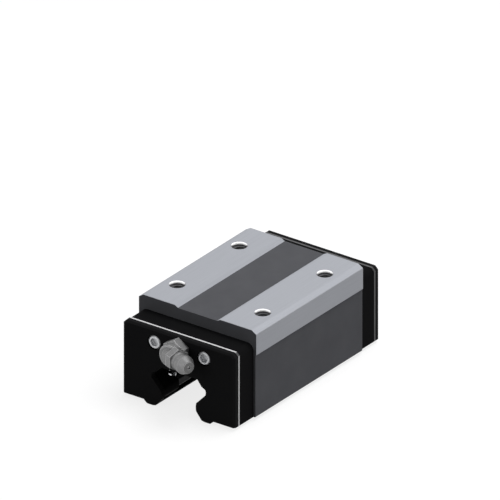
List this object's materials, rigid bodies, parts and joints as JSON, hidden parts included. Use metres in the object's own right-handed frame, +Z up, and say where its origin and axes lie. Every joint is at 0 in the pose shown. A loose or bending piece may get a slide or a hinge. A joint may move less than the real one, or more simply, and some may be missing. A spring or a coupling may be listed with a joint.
{
  "type": "linear guide block",
  "caption": "Square linear guide carriage with a flat ground top, tapped mounting holes, black end caps and seals, an angled grease nipple and a channel below that runs on a profiled rail.",
  "frame": {"origin": "centre of the four mounting holes on the ground top face", "axes": "+Z up out of the mounting face, +Y along the rail away from the grease nipple, +X across the rail"},
  "size_m": [0.048, 0.0919, 0.0332],
  "materials": {
    "block_steel": "ground and milled",
    "ball_steel": "polished",
    "plate_steel": "rolled",
    "screw_steel": "zinc plated",
    "nipple_steel": "plated",
    "spring_steel": "drawn wire",
    "cap_plastic": "moulded",
    "guide_plastic": "moulded",
    "retainer_plastic": "moulded",
    "seal_rubber": "moulded"
  },
  "bodies": {
    "carriage": {"carriage_block": "block_steel", "front_end_cap": "cap_plastic", "rear_end_cap": "cap_plastic", "front_left_return_guide": "guide_plastic", "front_right_return_guide": "guide_plastic", "rear_left_return_guide": "guide_plastic", "rear_right_return_guide": "guide_plastic", "top_ball_retainer": "retainer_plastic", "left_side_retainer": "retainer_plastic", "right_side_retainer": "retainer_plastic", "left_lower_retainer": "retainer_plastic", "right_lower_retainer": "retainer_plastic", "front_seal_plate": "plate_steel", "rear_seal_plate": "plate_steel", "front_end_seal": "seal_rubber", "rear_end_seal": "seal_rubber", "left_bottom_seal": "seal_rubber", "right_bottom_seal": "seal_rubber", "upper_left_balls": "ball_steel", "upper_right_balls": "ball_steel", "lower_left_balls": "ball_steel", "lower_right_balls": "ball_steel", "front_cap_screws": "screw_steel", "rear_cap_screws": "screw_steel", "rear_port_plug": "screw_steel", "grease_nipple": "nipple_steel", "nipple_spring": "spring_steel"},
    "valve": {"nipple_check_ball": "ball_steel"}
  },
  "joints": [
    {"name": "nipple_valve", "type": "slide", "parent": "carriage", "child": "valve", "axis": [-0.9239, 0.3827, 0], "range_m": [0, 0.0008], "stiffness_N_per_m": 300, "deforming": ["nipple_spring"]}
  ]
}
